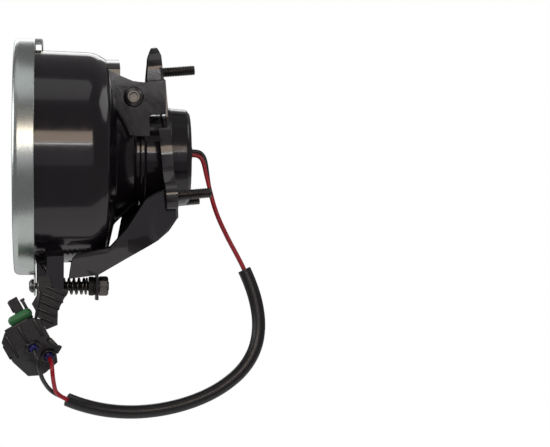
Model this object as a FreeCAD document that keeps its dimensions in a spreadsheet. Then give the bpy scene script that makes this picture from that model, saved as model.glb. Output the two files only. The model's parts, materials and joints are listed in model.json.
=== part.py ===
"""A round fog lamp on its steel bracket, with its aiming screw and its wiring.

Lengths are millimetres.  Two frames are used.  The bracket frame is the part's own: its origin
is the centre of the stud circle on the rear face of the bracket, +Y points rearward along the
studs and +Z up.  The lamp frame has its origin where the lamp's axis meets the front of the
bezel; it is tipped up from the bracket frame by the angle at which the aiming spring holds it.
"""

import FreeCAD, Part
import math
import os
import re

import Sketcher

V = FreeCAD.Vector
X_AXIS = V(1, 0, 0)
Y_AXIS = V(0, 1, 0)
Z_AXIS = V(0, 0, 1)

SIZES = {
    "bezel_radius": 70.0,
    "bezel_depth": 12.3,
    "bezel_sheet": 1.0,
    "lip_radius": 65.0,
    "lens_radius": 68.0,
    "flange_front": 9.0,
    "shell_radius": 63.3,
    "shell_wall": 1.2,
    "neck_radius": 26.0,
    "neck_start": 73.0,
    "neck_end": 97.0,
    "cap_radius": 29.5,
    "cap_front": 89.5,
    "cap_back": 104.0,
    "bulb_hole": 11.0,
    "steel_sheet": 1.5,
    "opening_radius": 33.5,
    "stud_radius": 3.0,
    "stud_length": 20.0,
    "stud_circle": 50.8,
    "shoulder_radius": 3.4,
    "plate_low": 38.0,
    "rim_depth": 6.5,
    "tongue_half": 15.0,
    "tongue_top": 66.3,
    "ear_inside": 30.0,
    "yoke_outside": 29.5,
    "pivot_along": 69.1,
    "pivot_above": 33.0,
    "pivot_radius": 3.0,
    "screw_radius": 3.0,
    "screw_side": 10.0,
    "screw_drop": 76.7,
    "lug_front": 13.0,
    "lug_step": 19.0,
    "lug_sheet": 1.2,
    "lug_low": 84.3,
    "flange_along": 47.6,
    "spring_radius": 5.1,
    "spring_wire": 0.65,
    "wire_radius": 1.25,
    "sleeve_radius": 4.0,
    "sleeve_bore": 3.1,
    "tilt_degrees": 4.75,
}

doc = FreeCAD.newDocument("FogLamp")
sheet = doc.addObject("Spreadsheet::Sheet", "Sizes")
for row, (alias, size) in enumerate(SIZES.items(), start=1):
    sheet.set(f"A{row}", alias)
    sheet.set(f"B{row}", str(size))
    sheet.setAlias(f"B{row}", alias)
doc.recompute()

TERM = re.compile(r"([+-]?)\s*([a-z_]+|[0-9.]+)")


def number(size):
    """The value of a size: a number, or names and numbers joined by + and -."""
    if not isinstance(size, str):
        return float(size)
    total = 0.0
    for sign, term in TERM.findall(size):
        value = float(sheet.get(term)) if term[0].isalpha() else float(term)
        total += -value if sign == "-" else value
    return total


def bind(thing, path, size):
    """Ties a property to the sheet's cells."""
    thing.setExpression(path, re.sub(r"([a-z_]+)", r"Sizes.\1", size))


# Both frames -------------------------------------------------------------------------------

TILT = FreeCAD.Rotation(X_AXIS, -number("tilt_degrees"))
PLATE_IN_LAMP = V(0, 91.3, 0.5)  # the stud circle's centre, in the lamp frame
BRACKET = FreeCAD.Placement()
LAMP = FreeCAD.Placement(-TILT.multVec(PLATE_IN_LAMP), TILT)
SCREW = LAMP * FreeCAD.Placement(V(number("screw_side"), 0, -number("screw_drop")), FreeCAD.Rotation())
ALONG_X = FreeCAD.Rotation(Z_AXIS, -90)  # turns +Y to +X


def in_bracket(along, up):
    """A point beside the lamp's axis, given in the lamp frame, as the bracket's (y, z)."""
    place = LAMP.multVec(V(0, along, up))
    return place.y, place.z


PIVOT = in_bracket(number("pivot_along"), number("pivot_above"))

# Sketches and features ---------------------------------------------------------------------

NODES = []


def body(label, placement=LAMP):
    """A sub-part of its own."""
    made = doc.addObject("PartDesign::Body", label)
    made.Label = label
    made.Placement = placement
    NODES.append(made)
    return made


def attached(owner, role, away):
    """An empty sketch on one of the body's own planes, a distance away along its normal."""
    plane = next(p for p in owner.Origin.OriginFeatures if p.Role == role)
    made = owner.newObject("Sketcher::SketchObject", "Sketch")
    made.AttachmentSupport = [(plane, "")]
    made.MapMode = "FlatFace"
    if isinstance(away, str):
        bind(made, "AttachmentOffset.Base.z", away)
        away = number(away)
    made.AttachmentOffset = FreeCAD.Placement(V(0, 0, away), FreeCAD.Rotation())
    return made


def limit(made, kind, *where):
    """Adds one dimension; a named size is bound to its cell."""
    *place, size = where
    index = made.addConstraint(Sketcher.Constraint(kind, *place, number(size)))
    if isinstance(size, str):
        bind(made, f"Constraints[{index}]", size)


def arc_between(start, end, radius):
    """The shorter arc from start to end; it turns left, or right for a negative radius."""
    half = (end - start) * 0.5
    rise = math.sqrt(max(radius * radius - half.Length**2, 0))
    side = V(-half.y, half.x, 0).normalize() * math.copysign(rise, radius)
    centre = start + half + side
    ends = (start, end) if radius > 0 else (end, start)
    angles = [math.atan2(p.y - centre.y, p.x - centre.x) for p in ends]
    return Part.ArcOfCircle(Part.Circle(centre, Z_AXIS, abs(radius)), *angles)


def outline(made, points):
    """A closed outline of (across, up) points; a third number is the radius of the arc after it."""
    corners = [V(number(p[0]), number(p[1]), 0) for p in points]
    first = [1 if len(p) == 2 or p[2] > 0 else 2 for p in points]
    count = len(points)
    base = made.GeometryCount
    for i, point in enumerate(points):
        start, end = corners[i], corners[(i + 1) % count]
        edge = Part.LineSegment(start, end) if len(point) == 2 else arc_between(start, end, point[2])
        made.addGeometry(edge, False)
    for i, point in enumerate(points):
        after = (i + 1) % count
        ends = (base + i, 3 - first[i], base + after, first[after])
        made.addConstraint(Sketcher.Constraint("Coincident", *ends))
        limit(made, "DistanceX", -1, 1, base + i, first[i], point[0])
        limit(made, "DistanceY", -1, 1, base + i, first[i], point[1])
        span = (corners[after] - corners[i]).Length
        if len(point) == 3 and abs(point[2]) > span / 2 + 0.001:
            limit(made, "Radius", base + i, abs(point[2]))  # a half circle needs no radius


def mirrored(points):
    """The same outline on the other side."""
    return [(-p[0], p[1], -p[2]) if len(p) == 3 else (-p[0], p[1]) for p in points]


def circles(made, rounds):
    """Full circles, each (across, up, radius)."""
    for across, up, radius in rounds:
        index = made.addGeometry(Part.Circle(V(number(across), number(up), 0), Z_AXIS, number(radius)), False)
        limit(made, "DistanceX", -1, 1, index, 3, across)
        limit(made, "DistanceY", -1, 1, index, 3, up)
        limit(made, "Radius", index, radius)


def grown(owner, kind, made, length):
    """A pad, along the sketch's normal, or a pocket, against it."""
    feature = owner.newObject(kind, "Feature")
    feature.Profile = made
    if isinstance(length, str):
        bind(feature, "Length", length)
    else:
        feature.Length = length
    owner.Tip = feature


def pad(owner, role, away, length, points=(), rounds=()):
    made = attached(owner, role, away)
    if points:
        outline(made, points)
    circles(made, rounds)
    grown(owner, "PartDesign::Pad", made, length)


def pocket(owner, role, away, length, points=(), rounds=()):
    made = attached(owner, role, away)
    if points:
        outline(made, points)
    circles(made, rounds)
    doc.recompute()
    before = owner.Shape.Volume
    grown(owner, "PartDesign::Pocket", made, length)
    doc.recompute()
    if owner.Shape.Volume > before - 0.01:
        raise RuntimeError(f"a pocket in {owner.Label} cuts nothing")


def spun(owner, kind, points, sector=360):
    """A revolution or a groove of (along, radius) points about the body's own Y axis.

    A part of a turn lies evenly about the middle plane, above the axis.
    """
    made = attached(owner, "YZ_Plane", 0)
    outline(made, points)
    feature = owner.newObject(kind, "Feature")
    feature.Profile = made
    feature.ReferenceAxis = (made, ["H_Axis"])
    feature.Midplane = sector < 360
    feature.Angle = sector
    owner.Tip = feature


def turned(label, points, placement=LAMP):
    made = body(label, placement)
    spun(made, "PartDesign::Revolution", points)
    return made


def group(label, members):
    """Several loose pieces of one kind as one sub-part."""
    made = doc.addObject("Part::Compound", label)
    made.Label = label
    made.Links = members
    for member in members:
        if member in NODES:
            NODES.remove(member)
    NODES.append(made)
    return made


def rod(radius, length, base, direction, frame=LAMP):
    """A plain cylinder from a point, in a frame."""
    made = doc.addObject("Part::Cylinder", "Rod")
    for path, size in (("Radius", radius), ("Height", length)):
        if isinstance(size, str):
            bind(made, path, size)
        else:
            setattr(made, path, size)
    made.Placement = frame * FreeCAD.Placement(base, FreeCAD.Rotation(Z_AXIS, direction))
    return made


def joined(kind, first, second):
    made = doc.addObject(kind, "Joined")
    made.Base = first
    made.Tool = second
    return made


def free_shape(label, shape, placement=LAMP):
    """A sub-part whose shape is a sweep or a loft."""
    made = doc.addObject("Part::Feature", label)
    made.Label = label
    made.Shape = shape
    made.Placement = placement
    NODES.append(made)
    return made


# The front of the lamp ---------------------------------------------------------------------

SCREW_TAB_SIDE = -7.8  # the bezel's screw is to the left of the middle
SCREW_TAB_DROP = -76.5

bezel = turned("bezel_ring", [
    ("bezel_depth", "bezel_radius"),
    (3.0, "bezel_radius", 3.0),
    (0.0, "bezel_radius-3"),
    (0.0, "lip_radius"),
    (4.2, "lip_radius"),
    (4.2, "lip_radius+0.9"),
    (1.0, "lip_radius+0.9"),
    (1.0, "bezel_radius-3", -2.0),
    (3.0, "bezel_radius-bezel_sheet"),
    ("bezel_depth", "bezel_radius-bezel_sheet"),
])
# The hook at the top holds the bezel over the shell's flange.
pad(bezel, "XZ_Plane", "0-bezel_depth-4.5", 5.1, points=[
    (-10.0, 69.181, -69.9),
    (10.0, 69.181),
    (10.0, 68.373, 69.1),
    (-10.0, 68.373),
])
pad(bezel, "XZ_Plane", "0-bezel_depth-4.5", 1.0, points=[
    (-10.0, 68.676, -69.4),
    (10.0, 68.676),
    (10.0, 64.6),
    (-10.0, 64.6),
])
pad(bezel, "XZ_Plane", "0-bezel_depth", "bezel_sheet", points=[
    (SCREW_TAB_SIDE - 6, -68.9),
    (SCREW_TAB_SIDE - 6, SCREW_TAB_DROP, 6.0),
    (SCREW_TAB_SIDE + 6, SCREW_TAB_DROP),
    (SCREW_TAB_SIDE + 6, -68.9),
])
pocket(bezel, "XZ_Plane", "2-bezel_depth", 3, rounds=[(SCREW_TAB_SIDE, SCREW_TAB_DROP, 2.2)])

turned("lens", [
    (0.8, 0.0),
    (7.0, 0.0),
    (7.0, "lens_radius"),
    (4.2, "lens_radius"),
    (4.2, "lip_radius-0.4"),
    (2.2, "lip_radius-3.0"),
    (0.8, "lip_radius-15"),
])
turned("lens_gasket", [
    (7.0, "lens_radius"),
    (7.0, 63.3),
    ("flange_front", 63.3),
    ("flange_front", "lens_radius"),
])
turned("reflector", [
    (7.3, 63.0),
    (7.3, 60.6, 90.0),
    (56.0, "bulb_hole"),
    (60.0, "bulb_hole"),
    (60.0, "bulb_hole+1.2"),
    (57.0, "bulb_hole+1.2", -90.0),
    (8.9, 61.4),
    (8.9, 63.0),
])

# The shell, which is a drum with a steep shoulder, and the neck crimped to it ------------------

SHELL_OUTSIDE = [
    ("flange_front", "lens_radius"),
    ("flange_front+1.5", "lens_radius"),
    ("flange_front+1.5", "shell_radius+1.4", 1.4),
    ("flange_front+2.9", "shell_radius"),
    (43.0, "shell_radius-0.9", -20.0),
    (51.0, 59.6),
    (53.2, 58.2, -3.6),
    (55.6, 53.6),
    (58.0, 43.0, 4.0),
    (60.6, 37.4),
    (67.6, 31.0),
    (70.6, "neck_radius+2"),
    ("neck_start", "neck_radius+2"),
]
SHELL_INSIDE = [
    ("neck_start", "neck_radius+2-shell_wall"),
    (70.1, "neck_radius+2-shell_wall"),
    (66.8, 30.1),
    (59.8, 36.5, -5.2),
    (56.8, 42.8),
    (54.4, 53.3, 2.4),
    (52.6, 57.2),
    (50.4, 58.5, 18.8),
    (43.0, "shell_radius-0.9-shell_wall"),
    ("flange_front", "shell_radius-shell_wall"),
]
turned("housing_shell", SHELL_OUTSIDE + SHELL_INSIDE)
NECK_OUTSIDE = [
    ("neck_start", "neck_radius+3.4"),
    ("neck_start+3.5", "neck_radius+3.4"),
    ("neck_start+3.5", "neck_radius"),
    ("neck_end", "neck_radius"),
]
turned("neck_tube", NECK_OUTSIDE + [
    ("neck_end", "neck_radius-shell_wall"),
    ("neck_start", "neck_radius-shell_wall"),
])
# The outsides of both, closed to the axis, trim what is welded to the shell.
SHELL_SOLID = SHELL_OUTSIDE + NECK_OUTSIDE + [("neck_end", 0.0), ("flange_front", 0.0)]

yoke = body("pivot_yoke")
CHEEK = [
    (46.0, 49.4),
    (61.5, 49.4),
    (61.5, 45.6),
    ("pivot_along", "pivot_above+9.5", -9.5),
    ("pivot_along+9.5", "pivot_above"),
    ("pivot_along+7", 20.0),
    (73.0, 11.0),
    (66.0, 11.0),
    (46.0, 30.0),
]
for inside in ("yoke_outside-steel_sheet", "0-yoke_outside"):
    pad(yoke, "YZ_Plane", inside, "steel_sheet", points=CHEEK)
# The strap over the shoulder joins the two cheeks.
STRAP = [(50.0, 56.5), (50.0, 58.0), (61.5, 58.0), (61.5, 56.5)]
spun(yoke, "PartDesign::Revolution", STRAP, 60.8)
spun(yoke, "PartDesign::Groove", SHELL_SOLID)
pocket(yoke, "YZ_Plane", 40, 80, rounds=[("pivot_along", "pivot_above", 4.5)])

lug = body("adjuster_lug")
LUG_LEFT, LUG_RIGHT, LUG_STEP = -13.0, 21.5, 1.5
LUG_SHEET = number("lug_sheet")
pad(lug, "XY_Plane", "0-lug_low", "lug_low-56", points=[
    (LUG_LEFT, 27.0),
    (LUG_LEFT, "lug_front"),
    (LUG_STEP + LUG_SHEET, "lug_front"),
    (LUG_STEP + LUG_SHEET, "lug_step"),
    (LUG_RIGHT, "lug_step"),
    (LUG_RIGHT, 29.0),
    (LUG_RIGHT - LUG_SHEET, 29.0),
    (LUG_RIGHT - LUG_SHEET, "lug_step+lug_sheet"),
    (LUG_STEP, "lug_step+lug_sheet"),
    (LUG_STEP, "lug_front+lug_sheet"),
    (LUG_LEFT + LUG_SHEET, "lug_front+lug_sheet"),
    (LUG_LEFT + LUG_SHEET, 27.0),
])
spun(lug, "PartDesign::Groove", SHELL_SOLID)
# The lower rear corners are cut away, and the left half ends a little higher.
pocket(lug, "YZ_Plane", 30, 60, points=[(14.8, -90.0), (33.0, -90.0), (33.0, -75.0)])
pocket(lug, "XZ_Plane", "1-lug_front", 30, points=[
    (-20.0, -90.0),
    (LUG_STEP, -90.0),
    (LUG_STEP, -82.8),
    (-20.0, -82.8),
])
pocket(lug, "XZ_Plane", "1-lug_front", 4, rounds=[(SCREW_TAB_SIDE, SCREW_TAB_DROP, 2.4)])
# The slot in which the aiming screw climbs as the lamp tips.
pocket(lug, "XZ_Plane", "1-lug_step", 4, points=[
    (6.4, -76.7, 3.6),
    (13.6, -76.7),
    (13.6, -72.4, 3.6),
    (6.4, -72.4),
])

TAB_SCREW = LAMP * FreeCAD.Placement(V(SCREW_TAB_SIDE, 0, SCREW_TAB_DROP), FreeCAD.Rotation())
tab_screw = turned("bezel_screw", [
    (8.4, 0.0),
    (8.4, 1.6),
    (9.2, 3.7, 1.2),
    (10.2, 4.1),
    ("bezel_depth-bezel_sheet", 4.1),
    ("bezel_depth-bezel_sheet", 2.0),
    (19.0, 2.0),
    (19.0, 0.0),
], TAB_SCREW)


def cross_recess(screw, away, deep, half_width):
    """Cuts a cross into a screw's head, which faces -Y."""
    for across, up in ((2.2, half_width), (half_width, 2.2)):
        corners = [(-across, -up), (across, -up), (across, up), (-across, up)]
        pocket(screw, "XZ_Plane", away, deep, points=corners)


cross_recess(tab_screw, -8, 2.0, 0.4)

tab_nut = body("bezel_screw_nut", TAB_SCREW)
TAB_NUT = [(-3.5, -3.5), (3.5, -3.5), (3.5, 3.5), (-3.5, 3.5)]
pad(tab_nut, "XZ_Plane", "0-lug_front-lug_sheet-3.2", 3.2, points=TAB_NUT, rounds=[(0.0, 0.0, 2.02)])

# The bulb and what holds it ------------------------------------------------------------------

turned("bulb_glass", [
    (27.0, 0.0, 3.5),
    (30.5, 3.5),
    (32.0, 5.4),
    (50.0, 5.4),
    (53.0, 3.8),
    (60.0, 3.8),
    (60.0, 0.0),
])
turned("bulb_shield", [
    (23.5, 0.0),
    (23.5, 3.0, 5.0),
    (26.5, 7.4),
    (29.5, 7.4),
    (29.5, 6.8),
    (27.0, 6.8, -4.6),
    (24.1, 3.0),
    (24.1, 0.0),
])
group("bulb_shield_legs", [rod(0.5, 30.5, V(7.1 * side, 29.5, 0), Y_AXIS) for side in (-1, 1)])
turned("bulb_base", [
    (60.0, 0.0),
    (60.0, 8.0),
    (61.5, 8.0),
    (61.5, 13.6),
    (63.0, 13.6),
    (63.0, 9.0),
    (72.0, 9.0),
    (72.0, 0.0),
])
turned("bulb_clip", [
    (63.0, 13.6),
    (63.0, 12.4),
    (64.0, 12.4),
    (64.0, 13.6),
])
group("bulb_terminals", [rod(1.2, 7.0, V(0, 72.0, 3.0 * side), Y_AXIS) for side in (-1, 1)])
LEAD_UP = 2.7
group("bulb_leads", [rod(0.9, 21.5, V(1.6 * side, 79.0, LEAD_UP - 1.3 * side), Y_AXIS) for side in (-1, 1)])

# The rear cap --------------------------------------------------------------------------------

GROMMET_UP = 2.7
cap = turned("rear_cap", [
    ("cap_front", "cap_radius+0.4"),
    ("cap_front+2", "cap_radius+0.4"),
    ("cap_front+2", "cap_radius"),
    ("cap_back-3", "cap_radius-0.7", 2.6),
    ("cap_back-0.6", "cap_radius-3.2"),
    ("cap_back", 0.0),
    ("cap_back-1.6", 0.0),
    ("cap_back-2.2", "cap_radius-4.0"),
    ("cap_back-4", "cap_radius-2.1"),
    ("cap_front", "cap_radius-1.6"),
])
pocket(cap, "XZ_Plane", -100.0, 8, rounds=[(0.0, GROMMET_UP, 4.0)])
turned("cap_seal", [
    (91.0, "neck_radius"),
    (91.0, "cap_radius-1.7"),
    (93.4, "cap_radius-1.8"),
    (93.4, "neck_radius"),
])
GROMMET = LAMP * FreeCAD.Placement(V(0, 0, GROMMET_UP), FreeCAD.Rotation())
turned("wire_grommet", [
    (100.6, 0.0),
    (100.6, 5.2),
    (102.0, 5.2),
    (102.0, 4.0),
    (104.1, 4.0),
    (104.1, 4.8),
    (105.4, 4.2),
    (105.4, 0.0),
], GROMMET)
WIRE_SIDE = 1.45
WIRE_RISE = 1.3

# The bracket -----------------------------------------------------------------------------------

bracket = body("mounting_bracket", BRACKET)
STUD_TURNS = [math.radians(turn) for turn in (90, 210, 330)]
CIRCLE = number("stud_circle")
STUDS = [(math.cos(turn) * CIRCLE, math.sin(turn) * CIRCLE) for turn in STUD_TURNS]
OPENING_UP = -0.6
pad(bracket, "XZ_Plane", 0, "steel_sheet", points=[
    (-32.0, "0-plate_low"),
    (40.5, "0-plate_low"),
    (44.0, -33.4, 8.0),
    (51.0, -21.5, 8.0),
    (43.0, -17.4),
    (37.6, -11.0, 38.0),
    (34.6, 14.6),
    ("ear_inside+steel_sheet", 20.0),
    ("ear_inside+steel_sheet", 42.6),
    (18.0, 45.0),
    ("tongue_half", "tongue_top-tongue_half", 15.0),
    ("0-tongue_half", "tongue_top-tongue_half"),
    (-18.0, 45.0),
    ("0-ear_inside-steel_sheet", 42.6),
    ("0-ear_inside-steel_sheet", 20.0),
    (-34.6, 14.6, 38.0),
    (-37.6, -11.0),
    (-43.0, -17.4, 8.0),
    (-51.0, -21.5, 8.0),
    (-44.0, -33.4),
], rounds=[(0.0, OPENING_UP, "opening_radius")])
pocket(bracket, "XZ_Plane", 5, 10, rounds=[(x, z, "shoulder_radius+0.05") for x, z in STUDS])
EAR = [
    (-1.0, 23.0),
    (-1.0, 42.6),
    (-12.6, 42.3),
    (-22.9, 44.1),
    (-26.8, 47.1, 10.0),
    (-30.6, 40.0),
    (-28.0, 27.0),
    (-20.8, 11.4),
    (-11.9, 10.8),
    (-11.4, 21.0, -2.0),
    (-9.4, 23.0),
]
for inside in ("ear_inside", "0-ear_inside-steel_sheet"):
    pad(bracket, "YZ_Plane", inside, "steel_sheet", points=EAR)
# The tongue is dished, and its flange is lower toward the top.
pad(bracket, "XZ_Plane", 0, 9.5, points=[
    ("tongue_half", 44.8),
    ("tongue_half", "tongue_top-tongue_half", 15.0),
    ("0-tongue_half", "tongue_top-tongue_half"),
    ("0-tongue_half", 44.8),
    ("steel_sheet-tongue_half", 44.8),
    ("steel_sheet-tongue_half", "tongue_top-tongue_half", -13.5),
    ("tongue_half-steel_sheet", "tongue_top-tongue_half"),
    ("tongue_half-steel_sheet", 44.8),
])
pocket(bracket, "YZ_Plane", 40, 80, points=[
    (-12.0, 72.0),
    (-12.0, 47.0),
    (-9.6, 47.0),
    (-7.6, 58.6, -12.0),
    (-3.8, 66.9),
    (-3.8, 72.0),
])
pocket(bracket, "YZ_Plane", 40, 80, points=[(2.0, 59.0), (0.2, 59.0), (-2.2, 66.9), (2.0, 66.9)])
# The plate's two sides are flanged forward, down to the lower studs.
RIM = [
    [(34.6, 14.6, -38.0), (37.6, -11.0), (36.1, -11.0, 36.5), (33.1, 14.6)],
    [(37.6, -11.0), (43.0, -17.4), (43.2, -18.95), (42.2, -18.9), (36.1, -11.6), (36.1, -11.0)],
    [(43.0, -17.4, -8.0), (51.0, -21.5), (49.6, -22.1, 6.5), (43.2, -18.95)],
    [(51.0, -21.5, -8.0), (44.0, -33.4), (44.0, -31.9, 6.5), (49.6, -22.1)],
]
for points in RIM:
    pad(bracket, "XZ_Plane", 0, "rim_depth", points=points)
    pad(bracket, "XZ_Plane", 0, "rim_depth", points=mirrored(points))
pocket(bracket, "YZ_Plane", 40, 80, rounds=[(PIVOT[0], PIVOT[1], "pivot_radius+0.05")])

# The lower arm: two folded side walls that lean out under the lamp, the web behind them and the
# flange for the aiming screw.
FLANGE_TOP, FLANGE_LOW = -68.3, -84.9
FLANGE_BACK = number("flange_along") + 1.4
WEB_BACK = [
    (-30.4, -58.6),
    (-18.7, -53.2),
    (-12.8, -50.3),
    (-5.9, -45.2),
    (-1.1, -39.2),
]
WEB_END = in_bracket(FLANGE_BACK, FLANGE_TOP - 1.9)
WEB = WEB_BACK[::-1] + [
    WEB_END,
    in_bracket(FLANGE_BACK, FLANGE_LOW),
    in_bracket(number("flange_along"), FLANGE_LOW),
    in_bracket(number("flange_along"), FLANGE_TOP),
    (-31.0, -57.2),
    (-19.3, -51.8),
    (-13.6, -49.0),
    (-7.0, -44.1),
    (-1.5, -37.4),
    (-1.5, -36.5),
    (0.0, -36.5),
    (0.0, "0-plate_low"),
]
NEAR_TOP = [
    (38.5, -0.6, -20.0),
    (38.5, -6.0, -21.6),
    (38.5, -12.0, -23.8),
    (38.2, -17.5, -26.3),
    (37.2, -29.6, -41.7),
    (36.0, -40.2, -52.0),
    (34.0, -60.0, -54.8),
]
NEAR_BEND = [
    (38.5, -0.8, -30.0),
    (38.5, -6.0, -33.5),
    (38.5, -12.4, -37.5),
    (38.2, -18.2, -41.0),
    (37.2, -30.0, -48.0),
    (36.0, -42.0, -55.0),
    (33.0, -62.5, -57.2),
]
NEAR_LOW = [
    (38.5, -1.1, -39.2),
    (38.5, -5.9, -45.2),
    (38.5, -12.8, -50.3),
    (37.0, -18.7, -53.2),
    (31.0, -30.4, -58.6),
    (25.5, *WEB_END),
    (25.5, -65.1, -67.7),
]
FAR_TOP = [
    (-30.0, -0.6, -20.0),
    (-30.0, -6.0, -21.0),
    (-30.5, -12.0, -22.0),
    (-32.5, -17.5, -23.5),
    (-35.5, -29.0, -31.0),
    (-36.4, -33.5, -46.6),
    (-36.2, -40.2, -52.3),
    (-34.0, -60.0, -54.8),
]
FAR_BEND = [
    (-30.0, -0.8, -30.0),
    (-30.0, -6.0, -33.5),
    (-30.5, -12.4, -37.5),
    (-32.5, -18.2, -41.0),
    (-35.2, -30.0, -47.0),
    (-35.8, -35.0, -50.6),
    (-36.0, -42.0, -55.0),
    (-33.0, -62.5, -57.2),
]
FAR_BENT = (-26.0, -30.4, -58.6)
FAR_END = (-17.0, *WEB_END)
FAR_LOW = [
    (-30.0, -1.1, -39.2),
    (-30.0, -5.9, -45.2),
    (-30.0, -12.8, -50.3),
    (-29.0, -18.7, -53.2),
    FAR_BENT,
    tuple((a + b) / 2 for a, b in zip(FAR_BENT, FAR_END)),
    FAR_END,
    (-17.0, -65.1, -67.7),
]


def seen_from_above(line):
    """The web's edge below a wall, from the plate to the flange."""
    return [(line[0][0], 0.0)] + [(x, along) for x, along, up in line[2:]]


def arm_piece(side_view, top_view):
    """What two outlines have in common, one drawn from the side and one from above."""
    made = []
    for role, away, length, points in (
        ("YZ_Plane", -45.0, 90.0, side_view), ("XY_Plane", -95.0, 90.0, top_view),
    ):
        blank = body("ArmBlank", BRACKET)
        pad(blank, role, away, length, points=points)
        NODES.remove(blank)
        made.append(blank)
    return joined("Part::Common", *made)


def folded_sheet(lines, shift):
    """A sheet over several lines of corners, closed by the same lines moved by the shift."""
    outer = [[V(*point) for point in line] for line in lines]
    faces = []
    for skin in (outer, [[point + shift for point in line] for line in outer]):
        for line, beside in zip(skin, skin[1:]):
            for i in range(len(line) - 1):
                for corners in ((line[i], line[i + 1], beside[i]), (line[i + 1], beside[i + 1], beside[i])):
                    faces.append(Part.Face(Part.makePolygon([*corners, corners[0]])))
    rim = outer[0] + [line[-1] for line in outer[1:]] + outer[-1][-2::-1]
    rim += [line[0] for line in outer[-2:0:-1]]
    for start, end in zip(rim, rim[1:] + rim[:1]):
        faces.append(Part.Face(Part.makePolygon([start, end, end + shift, start + shift, start])))
    solid = Part.Solid(Part.Shell(faces))
    return solid if solid.Volume > 0 else solid.reversed()


arm = [arm_piece(WEB, seen_from_above(NEAR_LOW) + seen_from_above(FAR_LOW)[::-1])]
for lines, shift in (([NEAR_TOP, NEAR_BEND, NEAR_LOW], -1.2), ([FAR_TOP, FAR_BEND, FAR_LOW], 1.2)):
    wall = free_shape("ArmWall", folded_sheet(lines, V(shift, 0, 1.0)), BRACKET)
    NODES.remove(wall)
    arm.append(wall)
blank_bracket = bracket
for member in arm:
    blank_bracket = joined("Part::Fuse", blank_bracket, member)
cutter = rod("screw_radius+0.4", 8.0, V(number("screw_side"), 44.0, -number("screw_drop")), Y_AXIS)
whole_bracket = joined("Part::Cut", blank_bracket, cutter)
bracket.Label = "bracket_before_the_screw_hole"
whole_bracket.Label = "mounting_bracket"
NODES.remove(bracket)
NODES.append(whole_bracket)

studs = []
for x, z in STUDS:
    shank = rod("stud_radius", "stud_length", V(x, 0, z), Y_AXIS, BRACKET)
    shoulder = rod("shoulder_radius", "steel_sheet", V(x, -number("steel_sheet"), z), Y_AXIS, BRACKET)
    head = rod("stud_radius+2.2", 1.8, V(x, -1.8 - number("steel_sheet"), z), Y_AXIS, BRACKET)
    studs.append(joined("Part::Fuse", joined("Part::Fuse", shank, shoulder), head))
group("mounting_studs", studs)

# The pivots --------------------------------------------------------------------------------------

pivot_frames = {
    1: FreeCAD.Placement(V(0, *PIVOT), ALONG_X),
    -1: FreeCAD.Placement(V(0, *PIVOT), ALONG_X.inverted()),
}
PIVOT_SCREW = [
    (23.0, 0.0),
    (23.0, "pivot_radius"),
    ("ear_inside+steel_sheet", "pivot_radius"),
    ("ear_inside+steel_sheet", 6.0, 4.5),
    ("ear_inside+steel_sheet+2.8", 2.5),
    ("ear_inside+steel_sheet+2.2", 2.5),
    ("ear_inside+steel_sheet+2.2", 0.0),
]
PIVOT_BUSH = [
    ("yoke_outside-2.3", 3.05),
    ("yoke_outside-2.3", 6.0),
    ("yoke_outside-1.5", 6.0),
    ("yoke_outside-1.5", 4.5),
    ("yoke_outside+0.15", 4.5),
    ("yoke_outside+0.15", 3.05),
]
group("pivot_screws", [turned("PivotScrew", PIVOT_SCREW, pivot_frames[side]) for side in (1, -1)])
group("pivot_bushes", [turned("PivotBush", PIVOT_BUSH, pivot_frames[side]) for side in (1, -1)])


def hexagon(across_flats):
    """The corners of a hexagon about the origin."""
    reach = across_flats / math.sqrt(3)
    turns = [math.radians(60 * i) for i in range(6)]
    return [(reach * math.cos(turn), reach * math.sin(turn)) for turn in turns]


def nut(label, start, thick, across_flats, bore, placement):
    made = body(label, placement)
    pad(made, "XZ_Plane", -(start + thick), thick, points=hexagon(across_flats), rounds=[(0.0, 0.0, bore)])
    return made


group("pivot_nuts", [
    nut("PivotNut", 23.2, 3.6, 10.0, "pivot_radius+0.02", pivot_frames[side]) for side in (1, -1)
])

# The aiming screw and its spring --------------------------------------------------------------------

HEAD_FRONT = 13.4
aiming_screw = turned("adjuster_screw", [
    (HEAD_FRONT, 0.0),
    (HEAD_FRONT, 2.6, 2.6),
    (HEAD_FRONT + 1.8, 4.5),
    (HEAD_FRONT + 3.8, 4.5),
    (HEAD_FRONT + 3.8, "screw_radius"),
    (55.4, "screw_radius"),
    (55.4, 0.0),
], SCREW)
cross_recess(aiming_screw, 1 - HEAD_FRONT, 2.8, 0.5)
turned("adjuster_washer", [
    (HEAD_FRONT + 3.9, "screw_radius+0.2"),
    (HEAD_FRONT + 3.9, 5.6),
    (HEAD_FRONT + 4.9, 5.6),
    (HEAD_FRONT + 4.9, "screw_radius+0.2"),
], SCREW)
turned("adjuster_collar", [
    (43.4, 3.5),
    (43.4, 5.65),
    ("flange_along", 5.65),
    ("flange_along", 3.5),
], SCREW)
nut("adjuster_nut", FLANGE_BACK, 6.0, 10.0, "screw_radius+0.05", SCREW)

SPRING_FRONT, SPRING_BACK = 20.6, 43.4
SPRING_TURNS = 8
SPRING_INSET = 0.7
spring_rise = SPRING_BACK - SPRING_FRONT - 2 * SPRING_INSET
spring_middle = number("spring_radius") - number("spring_wire")
spring_line = Part.makeHelix(spring_rise / SPRING_TURNS, spring_rise, spring_middle)
start = V(spring_middle, 0, 0)
ring = Part.Wire(Part.makeCircle(number("spring_wire"), start, Y_AXIS))
coil = Part.Wire(spring_line.Edges).makePipeShell([ring], True, True)
COIL = SCREW * FreeCAD.Placement(V(0, SPRING_FRONT + SPRING_INSET, 0), FreeCAD.Rotation(X_AXIS, -90))
free_shape("adjuster_spring", coil, COIL)

# The wiring ------------------------------------------------------------------------------------------

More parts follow.
